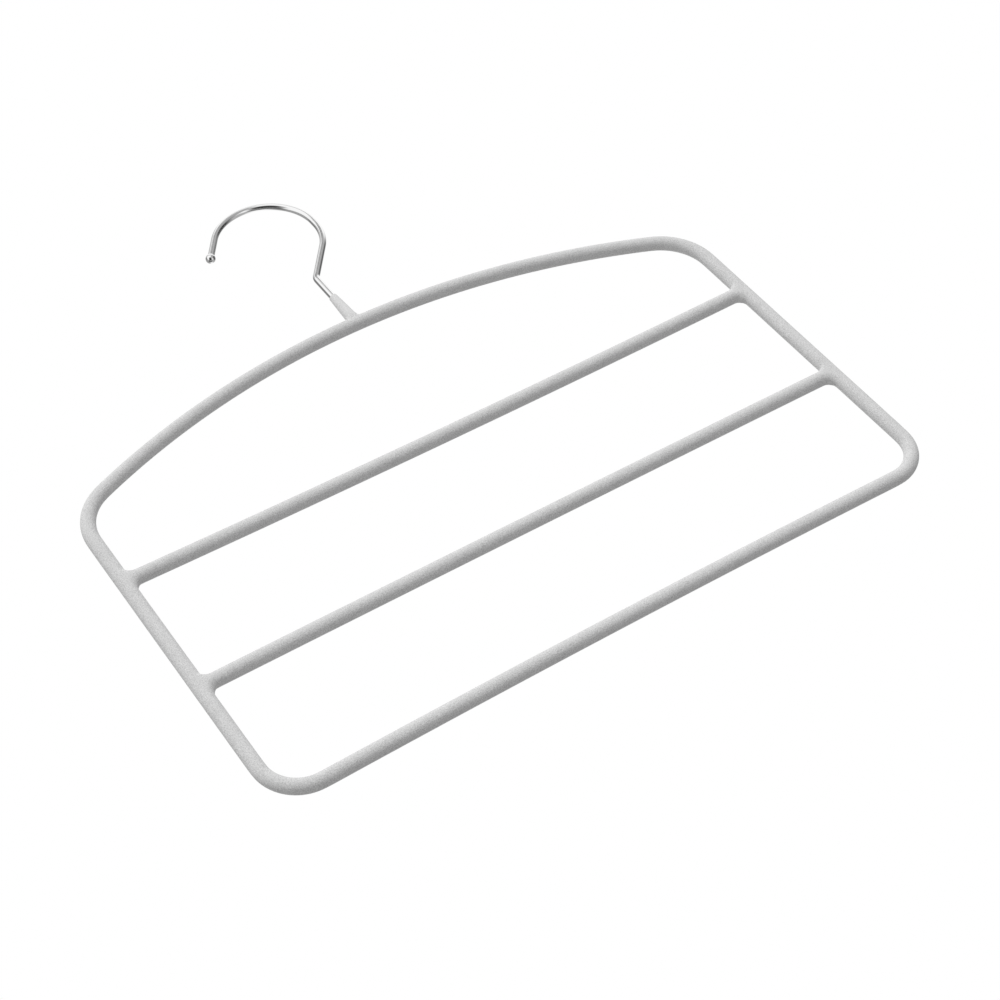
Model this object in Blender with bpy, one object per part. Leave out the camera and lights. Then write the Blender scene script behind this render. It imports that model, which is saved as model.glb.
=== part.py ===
"""Multi-tier trouser hanger: a flock-coated steel frame that swivels under a chromed hook.

Metres, +Z up. The origin is where the hook sits on a wardrobe rail, on the swivel axis. The frame hangs
in the XZ plane, and the hook opens towards -X.
"""

import math

import bmesh
import bpy
from mathutils import Matrix, Vector

# Frame of coated rod
FRAME_WIDTH = 0.360
ROD_DIAMETER = 0.0052
COAT_WALL = 0.0008
TIER_SPACING = 0.0718
UPPER_TIER_RISE = -0.0015
LOWER_TIER_RISE = 0.0004
BOTTOM_TIER_RISE = 0.0015
SIDE_ABOVE_TIERS = 0.0297
ARCH_RADIUS = 0.3974
SHOULDER_RADIUS = 0.0288
BOTTOM_BEND_RADIUS = 0.0196
JOINT_FILLET = 0.0018
JOINT_WELD = 0.0012
CLOSING_WELD = 0.0014

# Hook
WIRE_DIAMETER = 0.0037
HOOK_INSIDE_DIAMETER = 0.0520
HOOK_OFFSET = 0.0064
HOOK_SIDE_RUN = 0.0023
HOOK_DROP = 0.0394
NECK_BEND_RADIUS = 0.0055
NECK_LENGTH = 0.0174
TIP_ANGLE = math.radians(36.0)
TIP_LENGTH = 0.0151
BALL_OVERHANG = 0.0008

# Ferrule that the hook turns in
FERRULE_HEIGHT = 0.0196
FERRULE_TOP_WALL = 0.00025
FERRULE_FOOT_WALL = 0.0009
FOOT_WRAP = 0.0006
FOOT_WELD = 0.0012
HEAD_OVERHANG = 0.0004
HEAD_THICKNESS = 0.0016

# Clearances
FIT_GAP = 0.0003
RUNNING_GAP = 0.00015

# Facets
COAT_SIDES = 16
ROD_SIDES = 12
TURNED_SIDES = 24
HOOK_STEPS = 28
ARCH_STEPS = 16
BEND_STEPS = 7
RAIL_STEPS = 8
FILLET_STEPS = 4

# Radii that follow from the sizes above
ROD_R = ROD_DIAMETER / 2
ROD_CLEAR_R = ROD_R + FIT_GAP
COAT_R = ROD_CLEAR_R + COAT_WALL
COAT_CLEAR_R = COAT_R + FIT_GAP
WIRE_R = WIRE_DIAMETER / 2
HOOK_R = HOOK_INSIDE_DIAMETER / 2 + WIRE_R
BALL_R = WIRE_R + BALL_OVERHANG
BORE_R = WIRE_R + RUNNING_GAP
HEAD_R = WIRE_R + HEAD_OVERHANG
HEAD_SPACE_R = HEAD_R + RUNNING_GAP
FERRULE_TOP_R = BORE_R + FERRULE_TOP_WALL
FERRULE_FOOT_R = HEAD_SPACE_R + FERRULE_FOOT_WALL

# Heights down the swivel axis, from the rail seat to the crown of the arch
HOOK_CENTRE_Z = -math.sqrt((HOOK_INSIDE_DIAMETER / 2) ** 2 - HOOK_OFFSET**2)
NECK_Z = HOOK_CENTRE_Z - HOOK_DROP
FERRULE_TOP_Z = NECK_Z - NECK_LENGTH
CROWN_Z = FERRULE_TOP_Z - FERRULE_HEIGHT - COAT_R

# Places in the frame, measured from the rod's centre line at the crown
SIDE_X = FRAME_WIDTH / 2 - COAT_R
SHOULDER_X = SIDE_X - SHOULDER_RADIUS
SHOULDER_Z = math.sqrt((ARCH_RADIUS - SHOULDER_RADIUS) ** 2 - SHOULDER_X**2) - ARCH_RADIUS
UPPER_TIER_Z = SHOULDER_Z - SIDE_ABOVE_TIERS
LOWER_TIER_Z = UPPER_TIER_Z - TIER_SPACING
BOTTOM_TIER_Z = LOWER_TIER_Z - TIER_SPACING
BOTTOM_BEND_X = SIDE_X - BOTTOM_BEND_RADIUS
BOTTOM_BEND_Z = BOTTOM_TIER_Z + BOTTOM_BEND_RADIUS
FERRULE_LENGTH = FERRULE_HEIGHT + COAT_R
FERRULE_FOOT_Z = ROD_R - FOOT_WRAP
FOOT_WELD_TOP_Z = ROD_CLEAR_R + FOOT_WELD
HEAD_Z = FOOT_WELD_TOP_Z + FIT_GAP
HEAD_TOP_Z = HEAD_Z + HEAD_THICKNESS
TIER_ROD_END_X = SIDE_X - ROD_R - JOINT_WELD
SIDE_FACE_X = SIDE_X - COAT_R
FLARE_X = SIDE_FACE_X - JOINT_FILLET

TIERS = {
    "upper": (UPPER_TIER_Z, UPPER_TIER_RISE),
    "lower": (LOWER_TIER_Z, LOWER_TIER_RISE),
}
SIDES = {"left": -1, "right": 1}
DEPTH = Vector((0.0, 1.0, 0.0))
RIGHT_ANGLE = math.pi / 2
ALONG_X = Matrix.Rotation(RIGHT_ANGLE, 4, "Y")


def clear_scene():
    for old in list(bpy.data.objects):
        bpy.data.objects.remove(old, do_unlink=True)


def finish_material(name, colour, roughness, metallic):
    material = bpy.data.materials.new(name)
    material.use_nodes = True
    shader = material.node_tree.nodes["Principled BSDF"]
    shader.inputs["Base Color"].default_value = (*colour, 1.0)
    shader.inputs["Roughness"].default_value = roughness
    shader.inputs["Metallic"].default_value = metallic
    return material


def make_materials():
    return {
        "flock": finish_material("grey_flock", (0.58, 0.58, 0.59), 0.95, 0.0),
        "chrome": finish_material("chrome_plate", (0.84, 0.84, 0.85), 0.06, 1.0),
        "steel": finish_material("drawn_steel", (0.34, 0.33, 0.32), 0.45, 1.0),
        "weld": finish_material("weld_metal", (0.25, 0.24, 0.23), 0.6, 1.0),
        "ferrule": finish_material("flocked_ferrule", (0.60, 0.60, 0.61), 0.9, 0.0),
    }


def empty(name, height):
    pivot = bpy.data.objects.new(name, None)
    pivot.location.z = height
    bpy.context.scene.collection.objects.link(pivot)
    return pivot


def add_object(name, bm, parent, material=None, place=(0.0, 0.0, 0.0)):
    """One piece, shaded smooth except on its sharp edges, placed under its body's empty."""
    mesh = bpy.data.meshes.new(name)
    bm.to_mesh(mesh)
    bm.free()
    mesh.shade_smooth()
    mesh.set_sharp_from_angle(angle=math.radians(40.0))
    piece = bpy.data.objects.new(name, mesh)
    piece.location = place
    piece.parent = parent
    bpy.context.scene.collection.objects.link(piece)
    if material:
        mesh.materials.append(material)
    return piece


def add_cutter(name, bm, parent, place=(0.0, 0.0, 0.0)):
    cutter = add_object(name, bm, parent, place=place)
    cutter.hide_render = True
    cutter.display_type = "WIRE"
    return cutter


def cut(piece, *cutters):
    for cutter in cutters:
        boolean = piece.modifiers.new(f"clear_{cutter.name}", "BOOLEAN")
        boolean.operation = "DIFFERENCE"
        boolean.solver = "EXACT"
        boolean.object = cutter


def line(start, end):
    """Two stations of a straight run. A station is a point and the direction to the right of travel."""
    heading = (end - start).normalized()
    right = Vector((heading.z, 0.0, -heading.x))
    return [(start, right), (end, right)]


def arc(centre, radius, start, end, steps):
    """Stations along an arc in the XZ plane, with angles from +X towards +Z."""
    turn = 1 if end > start else -1
    stations = []
    for step in range(steps + 1):
        angle = start + (end - start) * step / steps
        outward = Vector((math.cos(angle), 0.0, math.sin(angle)))
        stations.append((centre + radius * outward, turn * outward))
    return stations


def joined(*runs):
    """Runs laid end to end, with the station that two runs share kept once."""
    path = list(runs[0])
    for run in runs[1:]:
        shared = (run[0][0] - path[-1][0]).length < 1e-7
        path += run[1:] if shared else run
    return path


def mirrored(path):
    """The same path on the other side of the swivel axis, travelled the other way."""
    flip = Matrix.Scale(-1.0, 3, Vector((1.0, 0.0, 0.0)))
    return [(flip @ point, flip @ right) for point, right in reversed(path)]


def ring(bm, station, half_height, half_depth, sides):
    point, right = station
    corners = []
    for side in range(sides):
        angle = math.tau * side / sides
        offset = right * (half_height * math.cos(angle)) + DEPTH * (half_depth * math.sin(angle))
        corners.append(bm.verts.new(point + offset))
    return corners


def wall(bm, first, second):
    """The band of faces between two rings."""
    for side in range(len(first)):
        bm.faces.new((first[side - 1], first[side], second[side], second[side - 1]))


def rod(path, radii, sides=ROD_SIDES):
    """A solid round bar along a path, with a radius at each station."""
    bm = bmesh.new()
    rings = [ring(bm, station, radius, radius, sides) for station, radius in zip(path, radii)]
    for first, second in zip(rings, rings[1:]):
        wall(bm, first, second)
    bm.faces.new(rings[0][::-1])
    bm.faces.new(rings[-1])
    return bm


def sleeve(path, half_heights):
    """An open-ended coat of one bore along a path, with a half height at each station."""
    bm = bmesh.new()
    rings = [ring(bm, station, half, COAT_R, COAT_SIDES) for station, half in zip(path, half_heights)]
    rings += [ring(bm, station, ROD_CLEAR_R, ROD_CLEAR_R, COAT_SIDES) for station in reversed(path)]
    for first, second in zip(rings, rings[1:] + rings[:1]):
        wall(bm, first, second)
    return bm


def turned(profile, closed):
    """A profile of (radius, height) points turned about Z. A closed profile is a ring with a bore."""
    bm = bmesh.new()
    points = [bm.verts.new((radius, 0.0, height)) for radius, height in profile]
    edges = [bm.edges.new(pair) for pair in zip(points, points[1:])]
    if closed:
        edges.append(bm.edges.new((points[-1], points[0])))
    bmesh.ops.spin(
        bm,
        geom=points + edges,
        axis=(0.0, 0.0, 1.0),
        cent=(0.0, 0.0, 0.0),
        angle=math.tau,
        steps=TURNED_SIDES,
        use_merge=True,
    )
    bmesh.ops.remove_doubles(bm, verts=bm.verts, dist=1e-7)
    bmesh.ops.recalc_face_normals(bm, faces=bm.faces)
    return bm


def disc(radius, bottom, top, sides=TURNED_SIDES):
    """A solid round bar along Z."""
    bm = bmesh.new()
    bmesh.ops.create_cone(
        bm,
        cap_ends=True,
        segments=sides,
        radius1=radius,
        radius2=radius,
        depth=top - bottom,
        matrix=Matrix.Translation((0.0, 0.0, (top + bottom) / 2)),
    )
    return bm


def laid_along_x(bm):
    bmesh.ops.transform(bm, matrix=ALONG_X, verts=bm.verts)
    return bm


def hook_path():
    """Centre line of the hook wire, from the head in the ferrule round to the middle of the ball."""
    centre = Vector((-HOOK_OFFSET, 0.0, HOOK_CENTRE_Z))
    low_centre = centre - Vector((0.0, 0.0, HOOK_SIDE_RUN))
    low_drop = HOOK_DROP - HOOK_SIDE_RUN
    lean = math.asin(HOOK_R / math.hypot(HOOK_OFFSET, low_drop)) - math.atan2(HOOK_OFFSET, low_drop)
    neck_start = Vector((0.0, 0.0, NECK_Z - NECK_BEND_RADIUS * math.tan(lean / 2)))
    neck_centre = neck_start + Vector((NECK_BEND_RADIUS, 0.0, 0.0))
    neck = arc(neck_centre, NECK_BEND_RADIUS, math.pi, math.pi - lean, BEND_STEPS)
    low_bend = arc(low_centre, HOOK_R, -lean, 0.0, BEND_STEPS)
    loop = arc(centre, HOOK_R, 0.0, math.pi - TIP_ANGLE, HOOK_STEPS)
    tip_way = Vector((-math.sin(TIP_ANGLE), 0.0, -math.cos(TIP_ANGLE)))
    tip = line(loop[-1][0], loop[-1][0] + TIP_LENGTH * tip_way)
    stem = line(Vector((0.0, 0.0, CROWN_Z + HEAD_TOP_Z)), neck_start)
    return joined(stem, neck, low_bend, loop, tip), tip_way


def make_hook(materials, body):
    path, tip_way = hook_path()
    right = path[0][1]
    head = [(Vector((0.0, 0.0, CROWN_Z + height)), right) for height in (HEAD_Z, HEAD_TOP_Z)]
    radii = [HEAD_R] * len(head) + [WIRE_R] * len(path)
    add_object("hook_wire", rod(head + path, radii), body, materials["chrome"])

    mouth = math.asin(BORE_R / BALL_R)
    steps = TURNED_SIDES // 2
    angles = [math.pi + (mouth - math.pi) * step / steps for step in range(steps + 1)]
    profile = [(BALL_R * math.sin(angle), BALL_R * math.cos(angle)) for angle in angles]
    profile[0] = (0.0, -BALL_R)
    profile += [(BORE_R, -FIT_GAP), (0.0, -FIT_GAP)]
    ball = add_object("hook_ball", turned(profile, False), body, materials["chrome"], path[-1][0])
    ball.rotation_euler = (-tip_way).to_track_quat("Z", "Y").to_euler()


def make_ferrule(materials, body):
    """Turned cone that traps the stem's head, and the plug weld that holds its foot to the arch."""
    head_space_top = HEAD_TOP_Z + FIT_GAP
    profile = [
        (BORE_R, FERRULE_LENGTH),
        (FERRULE_TOP_R, FERRULE_LENGTH),
        (FERRULE_FOOT_R, COAT_R),
        (FERRULE_FOOT_R, FERRULE_FOOT_Z),
        (HEAD_SPACE_R, FERRULE_FOOT_Z),
        (HEAD_SPACE_R, head_space_top),
        (BORE_R, head_space_top),
    ]
    reach = 2 * FERRULE_FOOT_R
    arch_space = add_cutter("arch_rod_space", laid_along_x(disc(ROD_CLEAR_R, -reach, reach)), body)
    ferrule = add_object("hook_ferrule", turned(profile, True), body, materials["ferrule"])
    weld_r = HEAD_SPACE_R - RUNNING_GAP
    weld = add_object("ferrule_weld", disc(weld_r, FERRULE_FOOT_Z, FOOT_WELD_TOP_Z), body, materials["weld"])
    for piece in (ferrule, weld):
        cut(piece, arch_space)


def arch_path():
    """From the right side, over the shoulder and the arch, to the left side."""
    arch_centre = Vector((0.0, 0.0, -ARCH_RADIUS))
    shoulder_centre = Vector((SHOULDER_X, 0.0, SHOULDER_Z))
    lean = math.atan2(SHOULDER_Z + ARCH_RADIUS, SHOULDER_X)
    shoulder = arc(shoulder_centre, SHOULDER_RADIUS, 0.0, lean, BEND_STEPS)
    crown = arc(arch_centre, ARCH_RADIUS, lean, math.pi - lean, ARCH_STEPS)
    return joined(shoulder, crown, mirrored(shoulder))


def bottom_half_path(start_x):
    """From near the middle of the bottom tier, round the right bend, to the right side."""
    dip = 2 * math.atan2(BOTTOM_TIER_RISE, BOTTOM_BEND_X)
    bend_centre = Vector((BOTTOM_BEND_X, 0.0, BOTTOM_BEND_Z))
    bend = arc(bend_centre, BOTTOM_BEND_RADIUS, -RIGHT_ANGLE - dip, 0.0, BEND_STEPS)
    end = bend[0][0]
    if not dip:
        return joined(line(Vector((start_x, 0.0, end.z)), end), bend)
    radius = end.x / math.sin(dip)
    rail_centre = Vector((0.0, 0.0, end.z - radius * math.cos(dip)))
    start = RIGHT_ANGLE - math.asin(start_x / radius)
    return joined(arc(rail_centre, radius, start, RIGHT_ANGLE - dip, RAIL_STEPS // 2), bend)


def make_outline(materials, body):
    """The bent rod, its closing weld, and the four runs of coat over it."""
    arch = arch_path()
    half = bottom_half_path(CLOSING_WELD / 2 + FIT_GAP)
    path = joined(half, arch, mirrored(half))
    add_object("outline_rod", rod(path, [ROD_R] * len(path)), body, materials["steel"])
    weld = laid_along_x(disc(ROD_R, -CLOSING_WELD / 2, CLOSING_WELD / 2))
    add_object("closing_weld", weld, body, materials["weld"], (0.0, 0.0, half[0][0].z))

    flock = materials["flock"]
    ferrule_hole = disc(FERRULE_FOOT_R + RUNNING_GAP, FERRULE_FOOT_Z - FIT_GAP, FERRULE_LENGTH)
    passage = add_cutter("ferrule_passage", ferrule_hole, body)
    arch_coat = add_object("arch_coat", sleeve(arch, [COAT_R] * len(arch)), body, flock)
    cut(arch_coat, passage)

    half = bottom_half_path(0.0)
    bottom = joined(mirrored(half), half)
    add_object("bottom_tier_coat", sleeve(bottom, [COAT_R] * len(bottom)), body, flock)

    passages = []
    for tier, (height, _) in TIERS.items():
        hole = laid_along_x(disc(ROD_R + RUNNING_GAP, -SIDE_X, SIDE_X))
        passages.append(add_cutter(f"{tier}_tier_passage", hole, body, (0.0, 0.0, height)))
    low = Vector((0.0, 0.0, BOTTOM_BEND_Z + FIT_GAP))
    high = Vector((0.0, 0.0, SHOULDER_Z - FIT_GAP))
    for side, way in SIDES.items():
        coat = sleeve(line(low, high), [COAT_R] * 2)
        cut(add_object(f"{side}_side_coat", coat, body, flock, (way * SIDE_X, 0.0, 0.0)), *passages)


def bowed(x, rise):
    """A station of a tier that bows by its rise between the two sides."""
    slope = -2 * rise * x / SIDE_X**2
    return Vector((x, 0.0, rise * (1 - (x / SIDE_X) ** 2))), Vector((slope, 0.0, -1.0)).normalized()


def spread(start, end, steps):
    return [start + (end - start) * step / steps for step in range(steps + 1)]


def coated_tier(rise):
    """A tier's plain coat, between the flares where it meets the sides."""
    end = FLARE_X - FIT_GAP
    path = [bowed(x, rise) for x in spread(-end, end, RAIL_STEPS)]
    return sleeve(path, [COAT_R] * len(path))


def flared_joint(rise, way):
    """The coat's end on a tier, which flares in the frame's plane until it meets a side."""
    xs, halves = [], []
    for angle in spread(0.0, RIGHT_ANGLE, FILLET_STEPS):
        xs.append(FLARE_X + JOINT_FILLET * math.sin(angle))
        halves.append(COAT_R + JOINT_FILLET * (1 - math.cos(angle)))
    path = [bowed(way * x, rise) for x in xs + [SIDE_X]]
    halves.append(halves[-1])
    return sleeve(path[::way], halves[::way])


def make_tiers(materials, body):
    """The two inner tiers: a rod, a coat, two flared joints of coat and two welds each."""
    tall = (UPPER_TIER_Z - LOWER_TIER_Z) / 2 + 2 * (COAT_R + JOINT_FILLET)
    middle_z = (UPPER_TIER_Z + LOWER_TIER_Z) / 2
    coat_space, rod_space = {}, {}
    for side, way in SIDES.items():
        place = (way * SIDE_X, 0.0, middle_z)
        coat_space[side] = add_cutter(f"{side}_coat_space", disc(COAT_CLEAR_R, -tall, tall), body, place)
        rod_space[side] = add_cutter(f"{side}_rod_space", disc(ROD_CLEAR_R, -tall, tall), body, place)
    for tier, (height, rise) in TIERS.items():
        place = (0.0, 0.0, height)
        path = [bowed(x, rise) for x in spread(-TIER_ROD_END_X, TIER_ROD_END_X, RAIL_STEPS)]
        add_object(f"{tier}_tier_rod", rod(path, [ROD_R] * len(path)), body, materials["steel"], place)
        add_object(f"{tier}_tier_coat", coated_tier(rise), body, materials["flock"], place)
        for side, way in SIDES.items():
            joint = flared_joint(rise, way)
            coat = add_object(f"{tier}_{side}_joint_coat", joint, body, materials["flock"], place)
            cut(coat, coat_space[side])
            ends = sorted((way * (TIER_ROD_END_X + FIT_GAP), way * SIDE_X))
            nugget = laid_along_x(disc(ROD_R, *ends))
            weld = add_object(f"{tier}_{side}_weld", nugget, body, materials["weld"], place)
            cut(weld, rod_space[side])


def main():
    clear_scene()
    materials = make_materials()
    hook = empty("hook_body", 0.0)
    frame = empty("frame_swivel", CROWN_Z)
    make_hook(materials, hook)
    make_ferrule(materials, frame)
    make_outline(materials, frame)
    make_tiers(materials, frame)


main()
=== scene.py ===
"""Looks of a multi-tier trouser hanger: seamless flock over its bars, a coated ferrule and a chromed hook.

Metres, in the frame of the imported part: +Z up along the hook's stem, the bars in the XZ plane.
"""

import math

import bmesh
import bpy
from bpy.props import FloatProperty, FloatVectorProperty, PointerProperty
from mathutils import Matrix, Vector


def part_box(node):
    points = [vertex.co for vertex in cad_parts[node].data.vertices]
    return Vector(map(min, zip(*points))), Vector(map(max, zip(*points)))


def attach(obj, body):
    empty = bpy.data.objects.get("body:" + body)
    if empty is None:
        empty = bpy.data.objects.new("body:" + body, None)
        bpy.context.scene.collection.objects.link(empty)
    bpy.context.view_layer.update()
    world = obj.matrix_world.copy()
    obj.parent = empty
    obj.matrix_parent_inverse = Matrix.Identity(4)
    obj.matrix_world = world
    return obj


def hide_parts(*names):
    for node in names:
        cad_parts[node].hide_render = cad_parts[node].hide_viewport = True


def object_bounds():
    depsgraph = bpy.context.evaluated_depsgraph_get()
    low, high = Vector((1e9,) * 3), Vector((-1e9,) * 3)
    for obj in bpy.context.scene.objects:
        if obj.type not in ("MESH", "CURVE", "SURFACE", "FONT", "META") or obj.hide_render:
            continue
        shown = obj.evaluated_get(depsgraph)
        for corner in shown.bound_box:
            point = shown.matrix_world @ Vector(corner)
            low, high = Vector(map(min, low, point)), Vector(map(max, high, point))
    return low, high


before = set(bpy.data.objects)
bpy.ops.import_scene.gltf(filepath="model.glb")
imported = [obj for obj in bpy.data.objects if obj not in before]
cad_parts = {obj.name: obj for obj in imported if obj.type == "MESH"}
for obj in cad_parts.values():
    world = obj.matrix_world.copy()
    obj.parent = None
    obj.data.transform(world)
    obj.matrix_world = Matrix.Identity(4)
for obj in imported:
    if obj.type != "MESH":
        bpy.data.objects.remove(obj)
CAD_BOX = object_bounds()

bl_info = {
    "name": "Trouser Hanger Looks",
    "version": (1, 0, 0),
    "blender": (4, 5, 0),
    "location": "View3D > Sidebar > Hanger",
    "description": "Builds the flock coat, ferrule, hook and studio of a multi-tier trouser hanger",
    "category": "Object",
}

FRONT = Vector((0.0, -1.0, 0.0))
RIGHT = Vector((1.0, 0.0, 0.0))
UP = Vector((0.0, 0.0, 1.0))
RIGHT_ANGLE = math.pi / 2

# Nodes of the part that the coat stands for, and those that stay under it
TIERS = ("upper", "lower")
SIDES = ("left", "right")
COAT_NODES = ["arch_coat", "bottom_tier_coat"]
COAT_NODES += [f"{side}_side_coat" for side in SIDES]
COAT_NODES += [f"{tier}_tier_coat" for tier in TIERS]
COAT_NODES += [f"{tier}_{side}_joint_coat" for tier in TIERS for side in SIDES]
STEEL_NODES = ["outline_rod"] + [f"{tier}_tier_rod" for tier in TIERS]
WELD_NODES = ["ferrule_weld", "closing_weld"]
WELD_NODES += [f"{tier}_{side}_weld" for tier in TIERS for side in SIDES]

# The coat's cage: sides of a bar, pitch along it and round its bends, and columns that open to a branch
COAT_SIDES = 16
COAT_PITCH = 0.007
BEND_PITCH = 0.0035
OPENING_COLUMNS = 6
COAT_LEVELS = 2
# A subdivided ring draws in to this share of its cage's radius
RING_DRAW_IN = (2 + math.cos(math.tau / COAT_SIDES)) / 3
# Rows this close to a joint, a collar or the coat's hidden end keep the roundings there short
CAGE_SUPPORT = 0.0016
END_SUPPORT = 0.0001
# Half width of a joint's oval underside, as a share of the cage's radius
JOINT_OVAL = 1.05
# Rings of the collar on the ferrule's foot: share of its height and how far it stands off the ferrule
COLLAR_RINGS = ((0.25, 0.0002), (0.55, 0.00008), (1.0, -0.00004))

# The hook's wire: sides, and pitch along its straights, its bends and the sharp bend at its neck
WIRE_SIDES = 32
STRAIGHT_PITCH = 0.004
HOOK_PITCH = 0.001
NECK_PITCH = 0.00025
# Turned pieces: steps round them, along the ball and its hollow, and along the ferrule's lip
TURNED_STEPS = 64
BALL_STEPS = 24
HOLLOW_STEPS = 8
LIP_STEPS = 4
# Edges that turn more than this stay sharp
SHARP_ANGLE = math.radians(40.0)

# The head on the hook's stem, the room above it and the clearance round it in the ferrule
HEAD_THICKNESS = 0.0016
HEAD_ROOM = 0.0003
RUNNING_GAP = 0.00015
# How far the ferrule sinks into the arch's coat, and the rounding of its lip
FOOT_SINK = 0.0008
LIP_ROUNDING = 0.0002
# Radius of the hollow where the ball meets the wire
BALL_HOLLOW = 0.00035

# Points that lie closer than this are one, and so are those on the seam of the two halves
SAME_POINT = 1e-6
SAME_SEAM = 1e-5

# Flock: depth of its tufts, and how far their shade runs from its colour on the bars and on the ferrule
FLOCK_DEPTH = 0.0002
FLOCK_SPREAD = 0.42
FERRULE_SPREAD = 0.2
# How much of the shade comes from the tufts, and how many tufts wide the soft patches are
TUFT_SHARE = 0.85
TUFT_DETAIL = 0.0
PATCH_TUFTS = 12
PATCH_DETAIL = 3.0
FLOCK_ROUGHNESS = (0.84, 1.0)
FLOCK_SPECULAR = 0.15
FLOCK_SHEEN = 0.12
SHEEN_ROUGHNESS = 0.6

# Metal: how much of the shade comes from its marks, and how many marks wide its clouds are
MARK_SHARE = 0.5
MARK_DETAIL = 3.0
CLOUD_MARKS = 10
CLOUD_DETAIL = 2.0
# How far the marks are drawn out along X, Y and Z
EVEN = (1.0, 1.0, 1.0)
DRAWN = (20.0, 1.0, 1.0)

# Dark cards round the chrome: degrees round from the front, degrees up, half width, soft edge and brightness
DARK_CARDS = (
    (45.0, -5.0, 37.0, 6.0, 0.4),
    (-28.0, -37.0, 30.0, 12.0, 0.06),
    (-105.0, -60.0, 40.0, 12.0, 0.15),
    (-103.0, 66.0, 30.0, 5.0, 0.55),
    (33.0, 40.0, 6.0, 4.0, 0.12),
    (-127.0, 18.0, 48.0, 12.0, 0.35),
    (108.0, -25.0, 51.0, 12.0, 0.43),
    (94.0, -11.0, 26.0, 12.0, 0.1),
    (4.0, 51.0, 7.0, 7.0, 0.15),
)

# The floor: share of its colour with which it sends light back up, radius and sides
FLOOR_RETURN = 0.45
FLOOR_RADIUS = 12.0
FLOOR_SIDES = 64
# The camera: width of its frame in millimetres, and how far it sees
FRAME_WIDTH = 36.0
SIGHT = 50.0


def middle(node):
    """Middle of a node's box."""
    low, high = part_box(node)
    return (low + high) / 2


def span(node):
    """Size of a node's box."""
    low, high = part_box(node)
    return high - low


class HangerFrame(bpy.types.PropertyGroup):
    """Sizes and colour of the flocked bars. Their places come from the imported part."""

    bar_diameter: FloatProperty(
        name="Bar diameter",
        description="Outer diameter of a coated bar",
        default=span("left_side_coat").y,
        unit="LENGTH",
    )
    shoulder_radius: FloatProperty(
        name="Shoulder radius",
        description="Bend of the bar between the arch and a side, to the bar's centre line",
        default=0.0288,
        unit="LENGTH",
    )
    joint_rise: FloatProperty(
        name="Joint rise",
        description="How far above a tier's centre line the coat of its joint starts, on the side",
        default=0.0048,
        unit="LENGTH",
    )
    joint_drop: FloatProperty(
        name="Joint drop",
        description="How far below a tier's centre line the coat of its joint starts, on the side",
        default=0.0068,
        unit="LENGTH",
    )
    joint_run: FloatProperty(
        name="Joint run",
        description="How far out from a side the coat of a joint meets the tier's plain coat",
        default=0.0022,
        unit="LENGTH",
    )
    joint_tilt: FloatProperty(
        name="Joint tilt",
        description="Tilt of the end of a tier's plain coat, with its underside farther from the side",
        default=math.radians(4.0),
        subtype="ANGLE",
    )
    collar_reach: FloatProperty(
        name="Collar reach",
        description="How far out from the ferrule's foot the arch's coat starts to climb",
        default=0.0009,
        unit="LENGTH",
    )
    collar_height: FloatProperty(
        name="Collar height",
        description="How far the arch's coat climbs the ferrule",
        default=0.0022,
        unit="LENGTH",
    )
    colour: FloatVectorProperty(
        name="Flock colour",
        description="Colour of the flock where it lies flat",
        default=(0.62, 0.62, 0.62),
        subtype="COLOR",
    )
    grain: FloatProperty(
        name="Grain",
        description="Size of the flock's finest tufts",
        default=0.00045,
        unit="LENGTH",
    )


class HangerHook(bpy.types.PropertyGroup):
    """Sizes and colours of the hook, its ball and the ferrule that it turns in."""

    wire_diameter: FloatProperty(
        name="Wire diameter",
        description="Diameter of the hook's wire",
        default=0.0037,
        unit="LENGTH",
    )
    inside_diameter: FloatProperty(
        name="Hook inside diameter",
        description="Room for the rail inside the hook",
        default=0.0520,
        unit="LENGTH",
    )
    side_run: FloatProperty(
        name="Side run",
        description="Straight wire in the hook's side, between its upper and lower bends",
        default=0.0023,
        unit="LENGTH",
    )
    drop: FloatProperty(
        name="Neck drop",
        description="From the middle of the hook down to the bend above its stem",
        default=0.0394,
        unit="LENGTH",
    )
    neck_radius: FloatProperty(
        name="Neck radius",
        description="Bend above the stem, to the wire's centre line",
        default=0.0055,
        unit="LENGTH",
    )
    tip_angle: FloatProperty(
        name="Tip angle",
        description="How far short of half a turn the hook's bend ends",
        default=math.radians(36.0),
        subtype="ANGLE",
    )
    tip_length: FloatProperty(
        name="Tip length",
        description="Straight wire from the end of the bend to the middle of the ball",
        default=0.0151,
        unit="LENGTH",
    )
    ball_diameter: FloatProperty(
        name="Ball diameter",
        description="Diameter of the ball on the tip",
        default=0.0053,
        unit="LENGTH",
    )
    ferrule_rim: FloatProperty(
        name="Ferrule rim",
        description="Outer diameter of the ferrule at its top",
        default=0.0045,
        unit="LENGTH",
    )
    ferrule_colour: FloatVectorProperty(
        name="Ferrule colour",
        description="Colour of the flock on the ferrule",
        default=(0.65, 0.65, 0.65),
        subtype="COLOR",
    )
    colour: FloatVectorProperty(
        name="Chrome colour",
        description="Colour that the chrome gives to what it reflects",
        default=(0.93, 0.93, 0.93),
        subtype="COLOR",
    )


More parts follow.
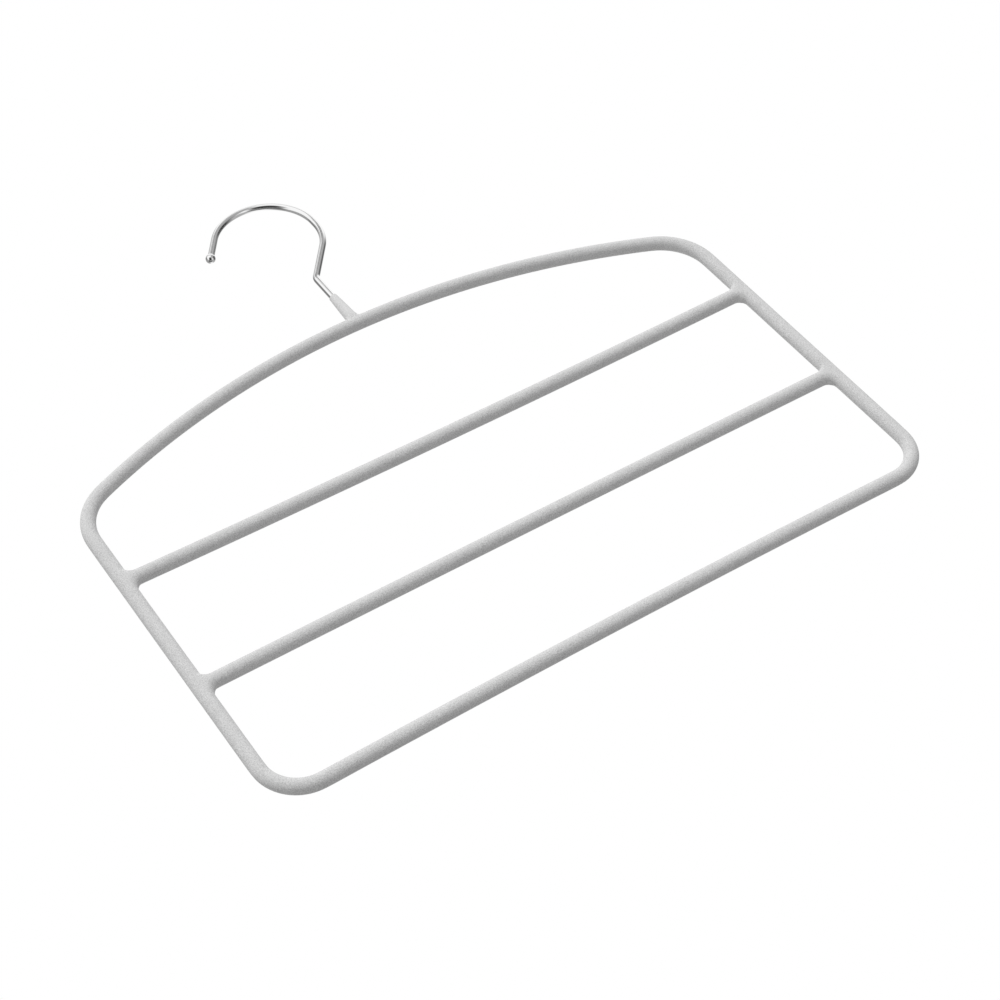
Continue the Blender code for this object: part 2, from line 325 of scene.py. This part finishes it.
class HangerStudio(bpy.types.PropertyGroup):
    """The camera, the light and the floor."""

    camera_place: FloatVectorProperty(
        name="Camera place",
        description="Where the camera stands",
        default=(-0.39415, -0.76982, -0.83932),
        subtype="TRANSLATION",
    )
    camera_turn: FloatVectorProperty(
        name="Camera turn",
        description="The camera's rotation about X, Y and Z",
        default=(math.radians(132.794), math.radians(33.456), math.radians(0.321)),
        subtype="EULER",
    )
    lens: FloatProperty(
        name="Lens",
        description="Focal length on a 36 mm wide frame",
        default=80.607,
        unit="CAMERA",
    )
    light_above: FloatProperty(
        name="Light from above",
        description="Brightness of the soft light overhead",
        default=0.96,
    )
    light_below: FloatProperty(
        name="Light from below",
        description="Brightness of the soft light underneath",
        default=0.35,
    )
    key: FloatProperty(
        name="Key light",
        description="Strength of the soft lamp in front",
        default=1.57,
    )
    key_height: FloatProperty(
        name="Key height",
        description="How far above level the lamp in front stands",
        default=math.radians(35.0),
        subtype="ANGLE",
    )
    key_turn: FloatProperty(
        name="Key turn",
        description="How far to the right of the front the lamp stands",
        default=math.radians(-3.0),
        subtype="ANGLE",
    )
    fill: FloatProperty(
        name="Fill light",
        description="Strength of the soft lamp behind",
        default=0.8,
    )
    fill_height: FloatProperty(
        name="Fill height",
        description="How far above level the lamp behind stands",
        default=math.radians(30.0),
        subtype="ANGLE",
    )
    lamp_width: FloatProperty(
        name="Lamp width",
        description="How wide each lamp is, seen from the hanger",
        default=math.radians(20.0),
        subtype="ANGLE",
    )
    floor_drop: FloatProperty(
        name="Floor drop",
        description="From the bottom tier down to the floor",
        default=1.25,
        unit="LENGTH",
    )
    floor_colour: FloatVectorProperty(
        name="Floor colour",
        description="Colour of the floor as the camera sees it",
        default=(0.8, 0.8, 0.8),
        subtype="COLOR",
    )


def edges_of(verts):
    """Every edge that meets any of the points."""
    return list({edge for vert in verts for edge in vert.link_edges})


def verts_of(edges):
    """Every point of the edges."""
    return list({vert for edge in edges for vert in edge.verts})


def points_in(geometry):
    """The points among what an operator made."""
    return [item for item in geometry if isinstance(item, bmesh.types.BMVert)]


def new_ring(bm, centre, heading, radius, sides):
    """An open ring of edges, square to the way that the bar runs."""
    turn = heading.to_track_quat("Z", "Y").to_matrix().to_4x4()
    place = Matrix.Translation(centre) @ turn
    made = bmesh.ops.create_circle(bm, segments=sides, radius=radius, matrix=place)
    return edges_of(made["verts"])


def run(bm, ring, step):
    """Draws a ring straight on by one step and returns the ring at the new end."""
    made = bmesh.ops.extrude_edge_only(bm, edges=ring)["geom"]
    bmesh.ops.translate(bm, vec=step, verts=points_in(made))
    return [item for item in made if isinstance(item, bmesh.types.BMEdge)]


def long_run(bm, ring, way, pitch):
    """Draws a ring straight on in even steps of about one pitch and returns the ring at the new end."""
    steps = max(1, round(way.length / pitch))
    for _ in range(steps):
        ring = run(bm, ring, way / steps)
    return ring


def sweep(bm, geometry, centre, angle, steps):
    """Draws points and edges round a centre, towards +Z from +X, and returns the points at the new end."""
    made = bmesh.ops.spin(
        bm,
        geom=geometry,
        cent=centre,
        axis=FRONT,
        angle=angle,
        steps=steps,
        use_merge=False,
    )
    return points_in(made["geom_last"])


def bend(bm, ring, centre, angle, radius, pitch):
    """Draws a ring round a centre in even steps of about one pitch and returns the ring at the new end."""
    steps = max(1, round(abs(angle) * radius / pitch))
    last = set(sweep(bm, ring + verts_of(ring), centre, angle, steps))
    return [edge for edge in edges_of(last) if set(edge.verts) <= last]


def climb(bm, ring, profile):
    """Draws a level ring round the Z axis on through radii and heights, of which the first are its own."""
    for (radius, height), (next_radius, next_height) in zip(profile, profile[1:]):
        ring = run(bm, ring, (next_height - height) * UP)
        share = next_radius / radius
        bmesh.ops.scale(bm, vec=(share, share, 1.0), verts=verts_of(ring))
    return ring


def turn_profile(bm):
    """Turns a profile full circle about the Z axis into a closed skin."""
    bmesh.ops.spin(
        bm,
        geom=bm.verts[:] + bm.edges[:],
        cent=(0.0, 0.0, 0.0),
        axis=UP,
        angle=math.tau,
        steps=TURNED_STEPS,
        use_merge=True,
    )
    bmesh.ops.remove_doubles(bm, verts=bm.verts, dist=SAME_POINT)
    bmesh.ops.recalc_face_normals(bm, faces=bm.faces)


def add_object(name, bm, material):
    """Turns a finished bmesh into a smooth object of one material."""
    mesh = bpy.data.meshes.new(name)
    bm.to_mesh(mesh)
    bm.free()
    mesh.shade_smooth()
    mesh.materials.append(material)
    made = bpy.data.objects.new(name, mesh)
    bpy.context.scene.collection.objects.link(made)
    return made


def add_piece(name, bm, body, nodes, material):
    """Turns a finished bmesh into a piece that rides on a body and stands for the part's nodes."""
    piece = add_object(name, bm, material)
    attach(piece, body)
    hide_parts(*nodes)
    return piece


def put(tree, kind, values, **settings):
    """Adds a shader node. A value is set on its input socket, and an output socket is linked to it."""
    node = tree.nodes.new(kind)
    for name, setting in settings.items():
        setattr(node, name, setting)
    for name, value in values.items():
        if isinstance(value, bpy.types.NodeSocket):
            tree.links.new(value, node.inputs[name])
        else:
            node.inputs[name].default_value = value
    return node


def math_node(tree, operation, *values):
    """A level worked out from numbers and other levels."""
    node = put(tree, "ShaderNodeMath", dict(enumerate(values)), operation=operation)
    return node.outputs["Value"]


def blend(tree, first, second, share):
    """A share of one level and the rest of another."""
    rest = math_node(tree, "MULTIPLY", second, 1 - share)
    return math_node(tree, "MULTIPLY_ADD", first, share, rest)


def ray_is(tree, *kinds):
    """One for a ray of any of the kinds, and zero for the others."""
    rays = put(tree, "ShaderNodeLightPath", {}).outputs
    level, *others = [rays[kind] for kind in kinds]
    for other in others:
        level = math_node(tree, "MAXIMUM", level, other)
    return level


def noise(tree, size, detail, stretch=EVEN):
    """Noise with features of one size in metres, drawn out along an axis where its stretch is above one."""
    place = put(tree, "ShaderNodeTexCoord", {}).outputs["Object"]
    scale = [1 / (size * pull) for pull in stretch]
    mapping = put(tree, "ShaderNodeMapping", {"Vector": place, "Scale": scale})
    values = {"Vector": mapping.outputs["Vector"], "Scale": 1.0, "Detail": detail}
    return put(tree, "ShaderNodeTexNoise", values).outputs["Fac"]


def new_material(name):
    """A material, its node tree and its shader."""
    material = bpy.data.materials.new(name)
    material.use_nodes = True
    tree = material.node_tree
    return material, tree, tree.nodes["Principled BSDF"]


def tint(tree, colour, spread, level):
    """A colour that runs from darker to lighter by its spread as a level runs from 0 to 1."""
    ramp = put(tree, "ShaderNodeValToRGB", {"Fac": level})
    ramp.color_ramp.elements[0].color = (*(channel * (1 - spread) for channel in colour), 1.0)
    ramp.color_ramp.elements[1].color = (*(channel * (1 + spread) for channel in colour), 1.0)
    return ramp.outputs["Color"]


def surface(tree, shader, colour, rough_level, roughness, height, depth):
    """Links a colour, a roughness that follows a level, and a bump of one depth to a shader."""
    low, high = roughness
    rough = put(tree, "ShaderNodeMapRange", {"Value": rough_level, "To Min": low, "To Max": high})
    bump = put(tree, "ShaderNodeBump", {"Height": height, "Distance": depth, "Strength": 1.0})
    tree.links.new(colour, shader.inputs["Base Color"])
    tree.links.new(rough.outputs["Result"], shader.inputs["Roughness"])
    tree.links.new(bump.outputs["Normal"], shader.inputs["Normal"])


def flock_material(name, colour, grain, spread):
    """Matt velvet: short upright fibre in fine tufts, with soft patches."""
    material, tree, shader = new_material(name)
    tufts = noise(tree, grain, TUFT_DETAIL)
    patches = noise(tree, PATCH_TUFTS * grain, PATCH_DETAIL)
    shade = tint(tree, colour, spread, blend(tree, tufts, patches, TUFT_SHARE))
    surface(tree, shader, shade, patches, FLOCK_ROUGHNESS, tufts, FLOCK_DEPTH)
    shader.inputs["Specular IOR Level"].default_value = FLOCK_SPECULAR
    shader.inputs["Sheen Weight"].default_value = FLOCK_SHEEN
    shader.inputs["Sheen Roughness"].default_value = SHEEN_ROUGHNESS
    return material


def metal_material(name, colour, roughness, grain, stretch, depth, spread):
    """Metal with a grain of one size, which varies its colour, its roughness and its surface."""
    material, tree, shader = new_material(name)
    marks = noise(tree, grain, MARK_DETAIL, stretch)
    clouds = noise(tree, CLOUD_MARKS * grain, CLOUD_DETAIL)
    level = blend(tree, marks, clouds, MARK_SHARE)
    surface(tree, shader, tint(tree, colour, spread, level), level, roughness, marks, depth)
    shader.inputs["Metallic"].default_value = 1.0
    return material


def dress(nodes, material):
    """Gives the part's own nodes a material."""
    for name in nodes:
        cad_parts[name].material_slots[0].material = material


def cage_radius(sizes):
    """Radius of a bar's cage, which subdivision draws in to the bar's own."""
    return sizes.bar_diameter / 2 / RING_DRAW_IN


def collar_edge(sizes):
    """How far along the arch from the middle of the ferrule its collar starts."""
    return span("hook_ferrule").x / 2 + sizes.collar_reach


def bottom_curves(sizes):
    """Centre and radius of the right corner and of the bowed bottom tier, and the slope where they meet."""
    low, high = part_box("bottom_tier_coat")
    bottom_z = low.z + sizes.bar_diameter / 2
    corner_radius = high.z - bottom_z
    corner = Vector((middle("right_side_coat").x - corner_radius, 0.0, high.z))
    rise = middle("closing_weld").z - bottom_z
    # An arc's ends slope twice as much as the chords from its crown
    slope = 2 * math.atan2(rise, corner.x)
    meet = corner - corner_radius * Vector((math.sin(slope), 0.0, math.cos(slope)))
    tier_radius = meet.x / math.sin(slope)
    tier = (meet.z - tier_radius * math.cos(slope)) * UP
    return corner, corner_radius, tier, tier_radius, slope


def arch_curves(sizes):
    """Centre of the right shoulder, centre and radius of the arch, and how far the shoulder turns."""
    low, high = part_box("arch_coat")
    bend_radius = sizes.shoulder_radius
    shoulder = Vector((middle("right_side_coat").x - bend_radius, 0.0, low.z))
    crown_z = high.z - sizes.bar_diameter / 2
    fall = crown_z - shoulder.z
    arch_radius = (shoulder.x**2 + fall**2 - bend_radius**2) / (2 * (fall - bend_radius))
    arch = (crown_z - arch_radius) * UP
    lean = math.atan2(shoulder.z - arch.z, shoulder.x)
    return shoulder, arch, arch_radius, lean


def half_outline(bm, sizes):
    """Right half of the outline's cage, from the middle of the bottom tier up to the crown of the arch."""
    corner, corner_radius, bottom, bottom_radius, slope = bottom_curves(sizes)
    shoulder, arch, arch_radius, lean = arch_curves(sizes)
    ring = new_ring(bm, bottom + bottom_radius * UP, RIGHT, cage_radius(sizes), COAT_SIDES)
    ring = bend(bm, ring, bottom, -slope, bottom_radius, COAT_PITCH)
    ring = bend(bm, ring, corner, RIGHT_ANGLE + slope, corner_radius, BEND_PITCH)
    height = corner.z
    for tier in reversed(TIERS):
        tier_z = middle(f"{tier}_right_weld").z
        ring = long_run(bm, ring, (tier_z - sizes.joint_drop - CAGE_SUPPORT - height) * UP, COAT_PITCH)
        for step in (CAGE_SUPPORT, sizes.joint_drop, sizes.joint_rise, CAGE_SUPPORT):
            ring = run(bm, ring, step * UP)
        height = tier_z + sizes.joint_rise + CAGE_SUPPORT
    ring = long_run(bm, ring, (shoulder.z - height) * UP, COAT_PITCH)
    ring = bend(bm, ring, shoulder, lean, sizes.shoulder_radius, BEND_PITCH)
    collar_turn = collar_edge(sizes) / arch_radius
    support_turn = CAGE_SUPPORT / arch_radius
    ring = bend(bm, ring, arch, RIGHT_ANGLE - lean - collar_turn - support_turn, arch_radius, BEND_PITCH)
    for turn in (support_turn, collar_turn):
        ring = bend(bm, ring, arch, turn, arch_radius, COAT_PITCH)


def opening(bm, sizes, place, facing, along, before, after):
    """Opens a bar's cage to a branch, from before to after a place along it, and returns the rim's edges."""
    widest = OPENING_COLUMNS / 2 * math.tau / COAT_SIDES
    patch = []
    for face in bm.faces:
        offset = face.calc_center_median() - place
        way = offset.dot(along)
        out = offset - along * way
        if -before < way < after and out.length < sizes.bar_diameter and out.angle(facing) < widest:
            patch.append(face)
    edges = [edge for face in patch for edge in face.edges]
    rim = [edge for edge in edges if edges.count(edge) == 1]
    bmesh.ops.delete(bm, geom=patch, context="FACES")
    return rim


def half_tier(bm, sizes, tier):
    """Right half of a tier's cage, bridged to an opening in the side with an oval underside."""
    cage = cage_radius(sizes)
    side_x = middle("right_side_coat").x
    place = Vector((side_x, 0.0, middle(f"{tier}_right_weld").z))
    rim = opening(bm, sizes, place, -RIGHT, UP, sizes.joint_drop, sizes.joint_rise)
    for vert in verts_of(rim):
        if vert.co.z < place.z:
            depth = vert.co.y / (cage * JOINT_OVAL)
            vert.co.z = place.z + (vert.co.z - place.z) * math.sqrt(1 - depth**2)
    # The middle of a bowed rod's box lies half its bow off its ends
    rise = 2 * (middle(f"{tier}_tier_rod").z - place.z)
    end = side_x - sizes.bar_diameter / 2 - sizes.joint_run
    outline = set(bm.verts)
    ring = new_ring(bm, place.z * UP, RIGHT, cage, COAT_SIDES)
    ring = long_run(bm, ring, (end - CAGE_SUPPORT) * RIGHT, COAT_PITCH)
    ring = run(bm, ring, CAGE_SUPPORT * RIGHT)
    tilt = Matrix.Rotation(sizes.joint_tilt, 3, "Y")
    bmesh.ops.rotate(bm, cent=(end, 0.0, place.z), matrix=tilt, verts=verts_of(ring))
    for vert in set(bm.verts) - outline:
        vert.co.z += rise * (1 - (vert.co.x / side_x) ** 2)
    bmesh.ops.bridge_loops(bm, edges=rim + ring)


def collar(bm, sizes, hook):
    """The arch's coat where it climbs the foot of the ferrule."""
    cage = cage_radius(sizes)
    arch_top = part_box("arch_coat")[1].z
    ferrule_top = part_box("hook_ferrule")[1].z
    foot = span("hook_ferrule").x / 2
    edge = collar_edge(sizes)
    place = (arch_top - sizes.bar_diameter / 2) * UP
    rim = opening(bm, sizes, place, UP, RIGHT, edge, edge)
    # The opening's ends are drawn to arcs, so that the coat climbs evenly all round
    half_width = max(vert.co.y for vert in verts_of(rim))
    for vert in verts_of(rim):
        if abs(vert.co.x) > edge / 2:
            lean = math.asin(vert.co.y / cage)
            vert.co.x = math.copysign(edge * math.cos(lean), vert.co.x)
            vert.co.z += math.sqrt(cage**2 - (half_width * math.sin(lean)) ** 2) - cage * math.cos(lean)
            vert.co.y = half_width * math.sin(lean)
    profile = []
    for share, swell in COLLAR_RINGS:
        height = sizes.collar_height * share
        taper = foot + (hook.ferrule_rim / 2 - foot) * height / (ferrule_top - arch_top)
        profile.append((taper + swell, arch_top + height))
    # The coat ends in the ferrule's wall and under the hook's head, which turns clear of it
    tuck = (foot + span("hook_wire").y / 2) / 2
    end_z = (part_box("hook_wire")[0].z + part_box("ferrule_weld")[1].z) / 2
    profile += [(tuck, profile[-1][1]), (tuck, end_z + END_SUPPORT), (tuck, end_z), (tuck / 2, end_z)]
    radius, height = profile[0]
    ring = new_ring(bm, height * UP, UP, radius / RING_DRAW_IN, COAT_SIDES)
    bmesh.ops.bridge_loops(bm, edges=rim + ring)
    ring = climb(bm, ring, profile)
    bmesh.ops.holes_fill(bm, edges=ring, sides=COAT_SIDES)


class HANGER_OT_flock_coat(bpy.types.Operator):
    """Makes the seamless flock coat of the outline and its tiers"""

    bl_idname = "hanger.flock_coat"
    bl_label = "Flock Coat"

    def execute(self, context):
        sizes = context.scene.hanger_frame
        bm = bmesh.new()
        half_outline(bm, sizes)
        for tier in TIERS:
            half_tier(bm, sizes, tier)
        bmesh.ops.mirror(bm, geom=bm.verts[:] + bm.edges[:] + bm.faces[:], axis="X", merge_dist=SAME_SEAM)
        bmesh.ops.remove_doubles(bm, verts=bm.verts, dist=SAME_POINT)
        collar(bm, sizes, context.scene.hanger_hook)
        bmesh.ops.recalc_face_normals(bm, faces=bm.faces)
        flock = flock_material("grey_flock", sizes.colour, sizes.grain, FLOCK_SPREAD)
        piece = add_piece("flock_coat", bm, "frame", COAT_NODES, flock)
        rounding = piece.modifiers.new("rounding", "SUBSURF")
        rounding.levels = COAT_LEVELS
        rounding.render_levels = COAT_LEVELS
        return {"FINISHED"}


def hook_bend(sizes):
    """Centre and radius of the hook's upper bend, to the wire's centre line."""
    wire = sizes.wire_diameter / 2
    radius = sizes.inside_diameter / 2 + wire
    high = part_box("hook_wire")[1]
    return Vector((high.x - radius - wire, 0.0, high.z - radius - wire)), radius


def hook_tip(sizes):
    """The middle of the ball and the way that the wire points there."""
    centre, radius = hook_bend(sizes)
    turn = math.pi - sizes.tip_angle
    start = centre + radius * Vector((math.cos(turn), 0.0, math.sin(turn)))
    way = Vector((-math.sin(sizes.tip_angle), 0.0, -math.cos(sizes.tip_angle)))
    return start + sizes.tip_length * way, way


class HANGER_OT_hook(bpy.types.Operator):
    """Bends the hook's wire, from its head in the ferrule to the ball, and turns the ball"""

    bl_idname = "hanger.hook"
    bl_label = "Hook"

    def execute(self, context):
        sizes = context.scene.hanger_hook
        chrome = metal_material(
            "chrome_plate",
            colour=sizes.colour,
            roughness=(0.0, 0.05),
            grain=0.0009,
            stretch=EVEN,
            depth=0.000002,
            spread=0.05,
        )
        self.wire(sizes, chrome)
        self.ball(sizes, chrome)
        return {"FINISHED"}

    def wire(self, sizes, chrome):
        """The wire, whose leg leans from the neck above its stem and runs smoothly into the hook's bend."""
        wire = sizes.wire_diameter / 2
        head = span("hook_wire").y / 2
        head_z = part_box("hook_wire")[0].z
        head_top = head_z + HEAD_THICKNESS
        centre, radius = hook_bend(sizes)
        low_centre = centre - sizes.side_run * UP
        low_drop = sizes.drop - sizes.side_run
        lean = math.asin(radius / math.hypot(centre.x, low_drop)) - math.atan2(-centre.x, low_drop)
        neck_z = centre.z - sizes.drop - sizes.neck_radius * math.tan(lean / 2)
        neck = Vector((sizes.neck_radius, 0.0, neck_z))
        leg_start = neck + sizes.neck_radius * Vector((-math.cos(lean), 0.0, math.sin(lean)))
        leg_end = low_centre + radius * Vector((math.cos(lean), 0.0, -math.sin(lean)))
        tip_way = hook_tip(sizes)[1]

        bm = bmesh.new()
        ring = new_ring(bm, head_z * UP, UP, head, WIRE_SIDES)
        bmesh.ops.holes_fill(bm, edges=ring, sides=WIRE_SIDES)
        ring = climb(bm, ring, [(head, head_z), (head, head_top), (wire, head_top)])
        ring = long_run(bm, ring, (neck_z - head_top) * UP, STRAIGHT_PITCH)
        ring = bend(bm, ring, neck, -lean, sizes.neck_radius, NECK_PITCH)
        ring = long_run(bm, ring, leg_end - leg_start, STRAIGHT_PITCH)
        ring = bend(bm, ring, low_centre, lean, radius, HOOK_PITCH)
        ring = run(bm, ring, sizes.side_run * UP)
        ring = bend(bm, ring, centre, math.pi - sizes.tip_angle, radius, HOOK_PITCH)
        ring = long_run(bm, ring, sizes.tip_length * tip_way, STRAIGHT_PITCH)
        bmesh.ops.holes_fill(bm, edges=ring, sides=WIRE_SIDES)
        bmesh.ops.recalc_face_normals(bm, faces=bm.faces)
        piece = add_piece("hook_wire_bent", bm, "hook", ["hook_wire"], chrome)
        piece.data.set_sharp_from_angle(angle=SHARP_ANGLE)

    def ball(self, sizes, chrome):
        """The ball, with a hollow round the wire where they meet."""
        wire = sizes.wire_diameter / 2
        ball = sizes.ball_diameter / 2
        hollow_x = wire + BALL_HOLLOW
        hollow_z = math.sqrt((ball + BALL_HOLLOW) ** 2 - hollow_x**2)
        mouth = math.atan2(hollow_x, hollow_z)
        bm = bmesh.new()
        points = [bm.verts.new((0.0, 0.0, -ball))]
        points = sweep(bm, points, (0.0, 0.0, 0.0), math.pi - mouth, BALL_STEPS)
        points = sweep(bm, points, (hollow_x, 0.0, hollow_z), mouth - RIGHT_ANGLE, HOLLOW_STEPS)
        made = bmesh.ops.extrude_vert_indiv(bm, verts=points)
        bmesh.ops.translate(bm, vec=-wire * RIGHT, verts=made["verts"])
        turn_profile(bm)
        place, tip_way = hook_tip(sizes)
        turn = (-tip_way).to_track_quat("Z", "Y").to_matrix().to_4x4()
        bmesh.ops.transform(bm, matrix=Matrix.Translation(place) @ turn, verts=bm.verts)
        add_piece("hook_ball_turned", bm, "hook", ["hook_ball"], chrome)


class HANGER_OT_ferrule(bpy.types.Operator):
    """Turns the tapered ferrule that the hook's stem swivels in, with room for the stem's head"""

    bl_idname = "hanger.ferrule"
    bl_label = "Ferrule"

    def execute(self, context):
        sizes = context.scene.hanger_hook
        top_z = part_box("hook_ferrule")[1].z
        foot_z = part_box("arch_coat")[1].z - FOOT_SINK
        room_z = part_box("hook_wire")[0].z + HEAD_THICKNESS + HEAD_ROOM
        bore = sizes.wire_diameter / 2 + RUNNING_GAP
        room = span("hook_wire").y / 2 + RUNNING_GAP
        foot = span("hook_ferrule").x / 2
        rim = sizes.ferrule_rim / 2
        outside = [(bore, top_z), (rim, top_z), (foot, foot_z)]
        inside = [(room, foot_z), (room, room_z), (bore, room_z)]
        bm = bmesh.new()
        points = [bm.verts.new((radius, 0.0, height)) for radius, height in outside + inside]
        for first, second in zip(points, points[1:] + points[:1]):
            bm.edges.new((first, second))
        turn_profile(bm)
        lip = [edge for edge in bm.edges if all(self.on_rim(vert, rim, top_z) for vert in edge.verts)]
        bmesh.ops.bevel(
            bm,
            geom=lip,
            offset=LIP_ROUNDING,
            offset_type="OFFSET",
            affect="EDGES",
            segments=LIP_STEPS,
            profile=0.5,
            material=-1,
        )
        grain = context.scene.hanger_frame.grain
        flock = flock_material("ferrule_flock", sizes.ferrule_colour, grain, FERRULE_SPREAD)
        piece = add_piece("ferrule_turned", bm, "frame", ["hook_ferrule"], flock)
        piece.data.set_sharp_from_angle(angle=SHARP_ANGLE)
        return {"FINISHED"}

    def on_rim(self, vert, radius, height):
        """Whether a point lies on the ring of one radius and height."""
        return abs(vert.co.z - height) < SAME_POINT and abs(vert.co.xy.length - radius) < SAME_POINT


class HANGER_OT_steel(bpy.types.Operator):
    """Gives the rods and welds under the coat their steel"""

    bl_idname = "hanger.steel"
    bl_label = "Rods and Welds"

    def execute(self, context):
        drawn = metal_material(
            "drawn_steel",
            colour=(0.34, 0.33, 0.32),
            roughness=(0.3, 0.55),
            grain=0.0004,
            stretch=DRAWN,
            depth=0.00002,
            spread=0.25,
        )
        weld = metal_material(
            "weld_metal",
            colour=(0.25, 0.24, 0.23),
            roughness=(0.45, 0.8),
            grain=0.0007,
            stretch=EVEN,
            depth=0.0002,
            spread=0.45,
        )
        dress(STEEL_NODES, drawn)
        dress(WELD_NODES, weld)
        return {"FINISHED"}


class HANGER_OT_studio(bpy.types.Operator):
    """Sets up the camera, the light and the floor"""

    bl_idname = "hanger.studio"
    bl_label = "Studio"

    def execute(self, context):
        scene = context.scene
        studio = scene.hanger_studio
        scene.view_settings.view_transform = "Standard"
        self.camera(scene, studio)
        self.lamp(scene, "key_lamp", studio.key, studio.lamp_width, studio.key_height, studio.key_turn)
        self.lamp(scene, "fill_lamp", studio.fill, studio.lamp_width, studio.fill_height, math.pi)
        self.surroundings(scene, studio)
        self.floor(studio)
        return {"FINISHED"}

    def camera(self, scene, studio):
        """The camera where the photo was taken."""
        camera = bpy.data.cameras.new("photo_camera")
        camera.lens = studio.lens
        camera.sensor_width = FRAME_WIDTH
        camera.clip_end = SIGHT
        holder = bpy.data.objects.new("photo_camera", camera)
        holder.location = studio.camera_place
        holder.rotation_euler = studio.camera_turn
        scene.collection.objects.link(holder)
        scene.camera = holder

    def lamp(self, scene, name, strength, width, height, turn):
        """A far lamp with a soft edge, turned round from the front, that the chrome doesn't mirror."""
        lamp = bpy.data.lights.new(name, "SUN")
        lamp.energy = strength
        lamp.angle = width
        holder = bpy.data.objects.new(name, lamp)
        holder.rotation_euler = (RIGHT_ANGLE - height, 0.0, turn)
        holder.visible_glossy = False
        scene.collection.objects.link(holder)

    def surroundings(self, scene, studio):
        """White to the camera, white with dark cards to the chrome, and soft light all round for the rest."""
        world = bpy.data.worlds.new("studio")
        scene.world = world
        world.use_nodes = True
        tree = world.node_tree
        way = put(tree, "ShaderNodeTexCoord", {}).outputs["Generated"]
        height = self.facing(tree, way, UP)
        swing = (studio.light_above - studio.light_below) / 2
        soft = math_node(tree, "MULTIPLY_ADD", height, swing, studio.light_below + swing)
        mirrored = 1.0
        for *angles, brightness in DARK_CARDS:
            turn, rise, half, edge = map(math.radians, angles)
            level = math.cos(rise)
            middle_way = Vector((math.sin(turn) * level, -math.cos(turn) * level, math.sin(rise)))
            card = put(
                tree,
                "ShaderNodeMapRange",
                {
                    "Value": self.facing(tree, way, middle_way),
                    "From Min": math.cos(half + edge),
                    "From Max": math.cos(half - edge),
                    "To Min": 1.0,
                    "To Max": brightness,
                },
                interpolation_type="SMOOTHSTEP",
            )
            mirrored = math_node(tree, "MULTIPLY", card.outputs["Result"], mirrored)
        glossy = ray_is(tree, "Is Glossy Ray")
        seen = ray_is(tree, "Is Camera Ray", "Is Transmission Ray")
        lit = put(tree, "ShaderNodeMix", {"Factor": glossy, "A": soft, "B": mirrored})
        shown = put(tree, "ShaderNodeMix", {"Factor": seen, "A": lit.outputs["Result"], "B": 1.0})
        tree.links.new(shown.outputs["Result"], tree.nodes["Background"].inputs["Color"])

    def facing(self, tree, way, axis):
        """How nearly a ray points along an axis, as a cosine."""
        node = put(tree, "ShaderNodeVectorMath", {0: way, 1: axis}, operation="DOT_PRODUCT")
        return node.outputs["Value"]

    def floor(self, studio):
        """A pale floor that the camera sees, which sends back only some of the light."""
        material, tree, shader = new_material("pale_floor")
        seen = ray_is(tree, "Is Camera Ray", "Is Transmission Ray", "Is Glossy Ray")
        level = math_node(tree, "MULTIPLY_ADD", seen, 1 - FLOOR_RETURN, FLOOR_RETURN)
        pale = put(tree, "ShaderNodeVectorMath", {0: studio.floor_colour, "Scale": level}, operation="SCALE")
        tree.links.new(pale.outputs["Vector"], shader.inputs["Base Color"])
        shader.inputs["Roughness"].default_value = 1.0
        shader.inputs["Specular IOR Level"].default_value = 0.0
        bm = bmesh.new()
        place = Matrix.Translation((CAD_BOX[0].z - studio.floor_drop) * UP)
        bmesh.ops.create_circle(bm, cap_ends=True, segments=FLOOR_SIDES, radius=FLOOR_RADIUS, matrix=place)
        floor = add_object("floor", bm, material)
        floor.visible_glossy = False


class HANGER_PT_panel(bpy.types.Panel):
    """Lists the hanger's makers, sizes and colours"""

    bl_idname = "HANGER_PT_panel"
    bl_label = "Trouser Hanger"
    bl_space_type = "VIEW_3D"
    bl_region_type = "UI"
    bl_category = "Hanger"

    def draw(self, context):
        for operator in OPERATORS:
            self.layout.operator(operator.bl_idname)
        for name, group in GROUPS.items():
            box = self.layout.box()
            for size in group.__annotations__:
                box.prop(getattr(context.scene, name), size)


GROUPS = {"hanger_frame": HangerFrame, "hanger_hook": HangerHook, "hanger_studio": HangerStudio}
OPERATORS = (HANGER_OT_flock_coat, HANGER_OT_hook, HANGER_OT_ferrule, HANGER_OT_steel, HANGER_OT_studio)


def register():
    for group in GROUPS.values():
        bpy.utils.register_class(group)
    for operator in OPERATORS:
        bpy.utils.register_class(operator)
    bpy.utils.register_class(HANGER_PT_panel)
    for name, group in GROUPS.items():
        setattr(bpy.types.Scene, name, PointerProperty(type=group))


def unregister():
    for name in GROUPS:
        delattr(bpy.types.Scene, name)
    bpy.utils.unregister_class(HANGER_PT_panel)
    for operator in reversed(OPERATORS):
        bpy.utils.unregister_class(operator)
    for group in GROUPS.values():
        bpy.utils.unregister_class(group)


def main():
    register()
    bpy.ops.hanger.flock_coat()
    bpy.ops.hanger.hook()
    bpy.ops.hanger.ferrule()
    bpy.ops.hanger.steel()
    bpy.ops.hanger.studio()


if __name__ == "__main__":
    main()
